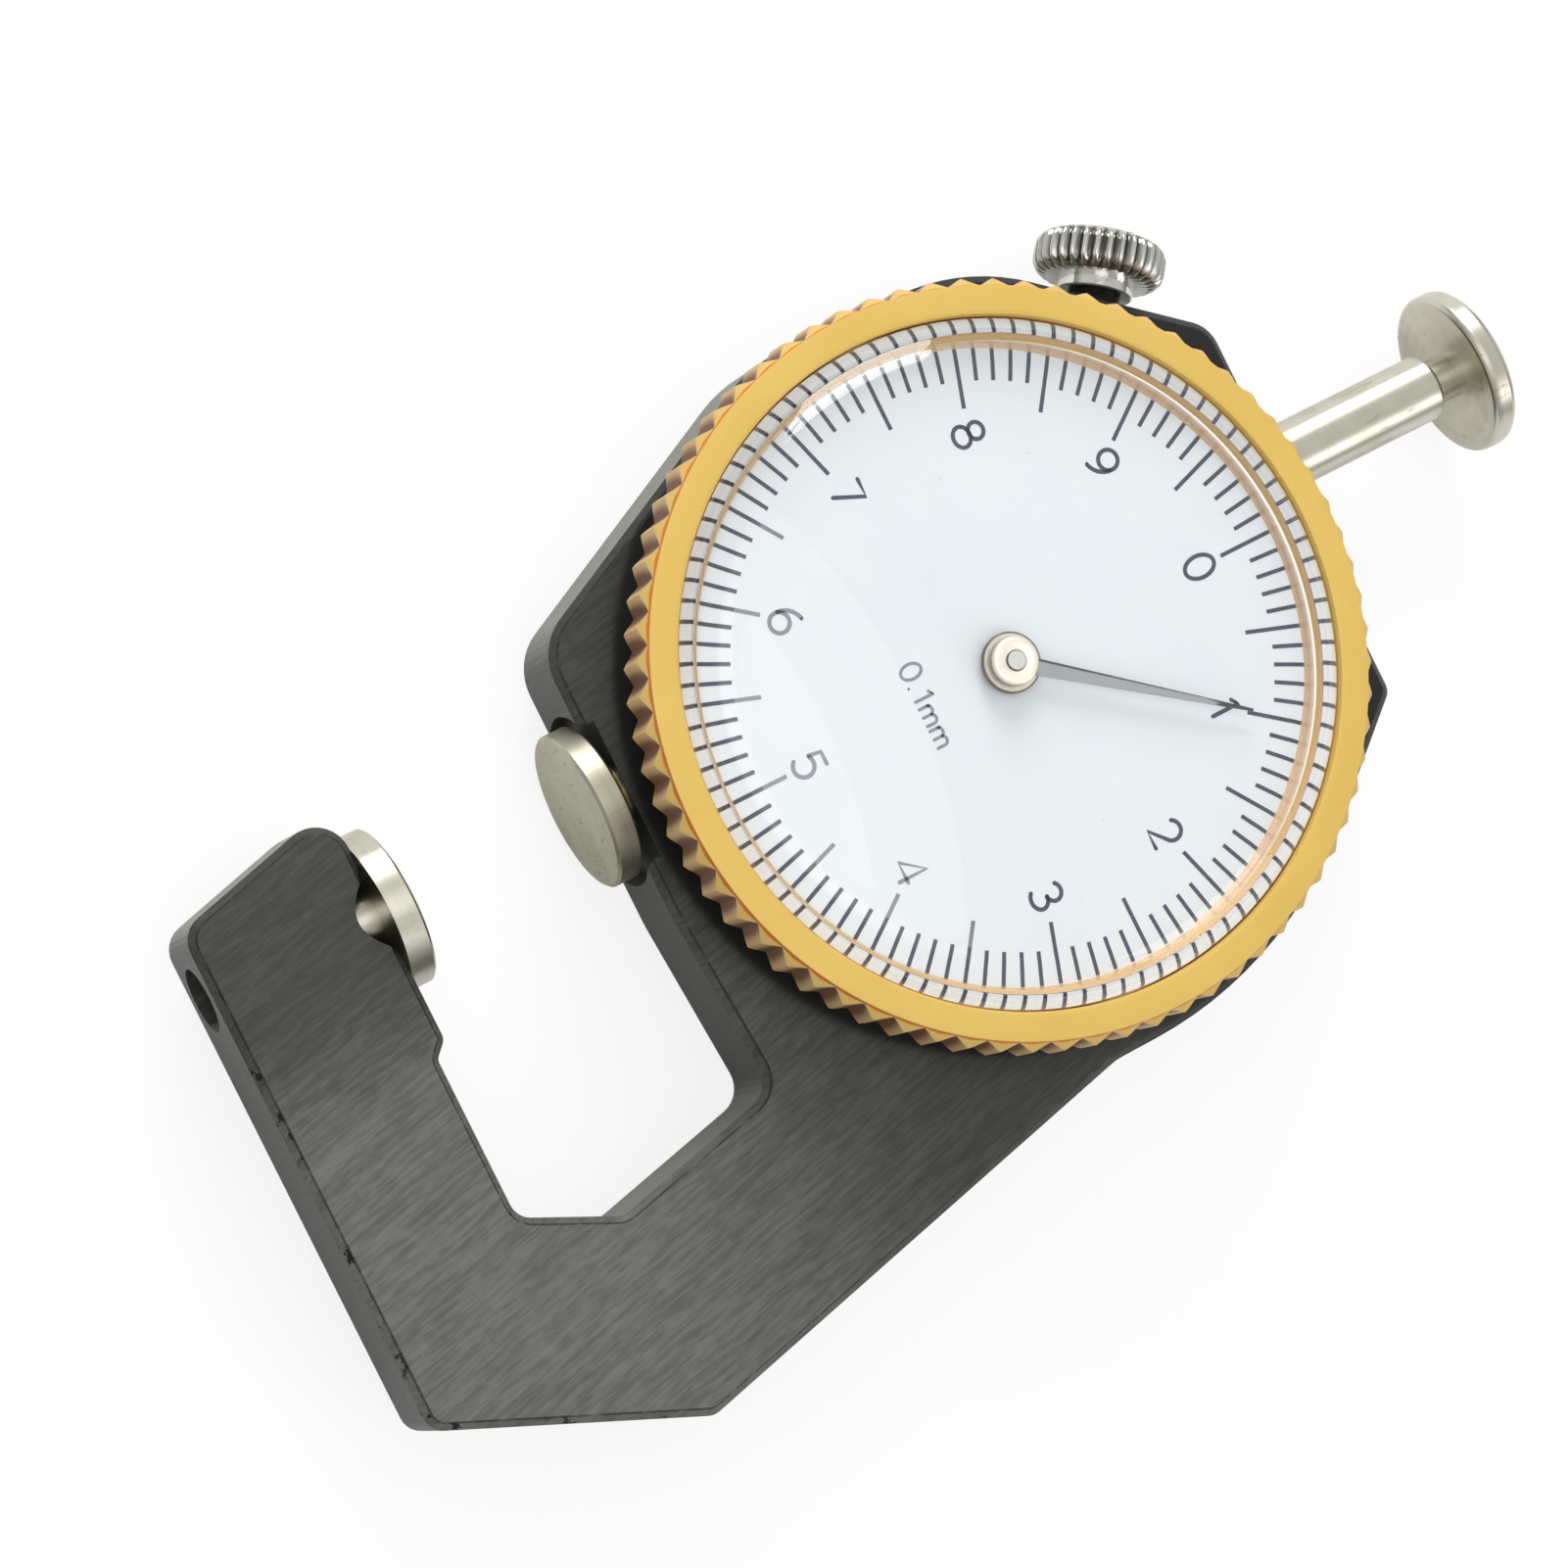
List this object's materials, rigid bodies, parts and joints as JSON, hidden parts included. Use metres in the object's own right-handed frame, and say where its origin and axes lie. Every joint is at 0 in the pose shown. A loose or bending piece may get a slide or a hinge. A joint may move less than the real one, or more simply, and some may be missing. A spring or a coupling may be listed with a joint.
{
  "type": "dial thickness gauge",
  "caption": "Pocket dial thickness gauge with a deep C-shaped frame, flat measuring discs, a thumb-lifted spindle, a lock screw and a turning gold dial rim.",
  "frame": {"origin": "under the dial pivot, on the plane of the back cover's outer face", "axes": "+Z out of the dial, +Y from the pivot to the thumb head and the dial's zero mark, +X to the spine of the frame"},
  "size_m": [0.0485, 0.0817, 0.0158],
  "materials": {
    "grey_enamel": "dark grey enamel with fine sanding marks",
    "plated_screw": "satin",
    "black_screw": "blackened",
    "brass_part": "turned",
    "nickel_steel": "nickel plated, softly polished",
    "spring_wire": "drawn wire",
    "hand_grey": "thin grey strip",
    "gold_anodised": "satin gold anodised",
    "clear_crystal": "clear",
    "dial_white": "satin printed",
    "fibre_washer": "matt",
    "bright_chrome": "bright"
  },
  "bodies": {
    "housing": {"frame": "grey_enamel", "back_cover": "grey_enamel", "cover_screws": "plated_screw", "movement_plate": "brass_part", "plate_screws": "plated_screw", "upper_guide_bush": "brass_part", "lower_guide_bush": "brass_part", "lower_pivot_bush": "brass_part", "upper_pivot_bush": "brass_part", "guide_block": "plated_screw", "guide_screws": "plated_screw", "spring_post": "plated_screw", "hairspring_stud": "brass_part", "fixed_anvil": "nickel_steel", "anvil_lock_screw": "black_screw"},
    "spindle": {"spindle_rod": "nickel_steel", "moving_anvil": "nickel_steel", "thumb_head": "nickel_steel", "guide_pin": "plated_screw", "return_spring": "spring_wire"},
    "pointer": {"centre_arbor": "plated_screw", "pinion": "brass_part", "hairspring_collet": "brass_part", "hairspring": "spring_wire", "hand_hub": "plated_screw", "hand": "hand_grey"},
    "dial_rim": {"bezel": "gold_anodised", "crystal": "clear_crystal", "dial_plate": "dial_white", "dial_gasket": "fibre_washer", "retaining_wire": "spring_wire"},
    "lock_nose": {"lock_pad": "brass_part"},
    "lock_screw": {"lock_knob": "bright_chrome", "lock_shank": "plated_screw"}
  },
  "joints": [
    {"name": "spindle_lift", "type": "slide", "parent": "housing", "child": "spindle", "axis": [0, 1, 0], "range_m": [-0.01099, 0.0005], "deforming": ["return_spring"]},
    {"name": "pointer_turn", "type": "hinge", "parent": "housing", "child": "pointer", "pos_m": [0, 0, 0.0051], "axis": [0, 0, 1], "continuous": true, "deforming": ["hairspring"]},
    {"name": "rim_turn", "type": "hinge", "parent": "housing", "child": "dial_rim", "pos_m": [0, 0, 0.012], "axis": [0, 0, 1], "continuous": true},
    {"name": "lock_travel", "type": "slide", "parent": "housing", "child": "lock_nose", "axis": [-0.7934, 0.6088, 0], "range_m": [0, 0.001]},
    {"name": "lock_turn", "type": "hinge", "parent": "lock_nose", "child": "lock_screw", "pos_m": [-0.01656, 0.01785, 0.0051], "axis": [-0.7934, 0.6088, 0], "range_deg": [0, 721]}
  ],
  "couplings": [
    {"joint": "pointer_turn", "follows": "spindle_lift", "rad_per_m": -628.32},
    {"joint": "lock_turn", "follows": "lock_travel", "rad_per_m": 12566}
  ]
}
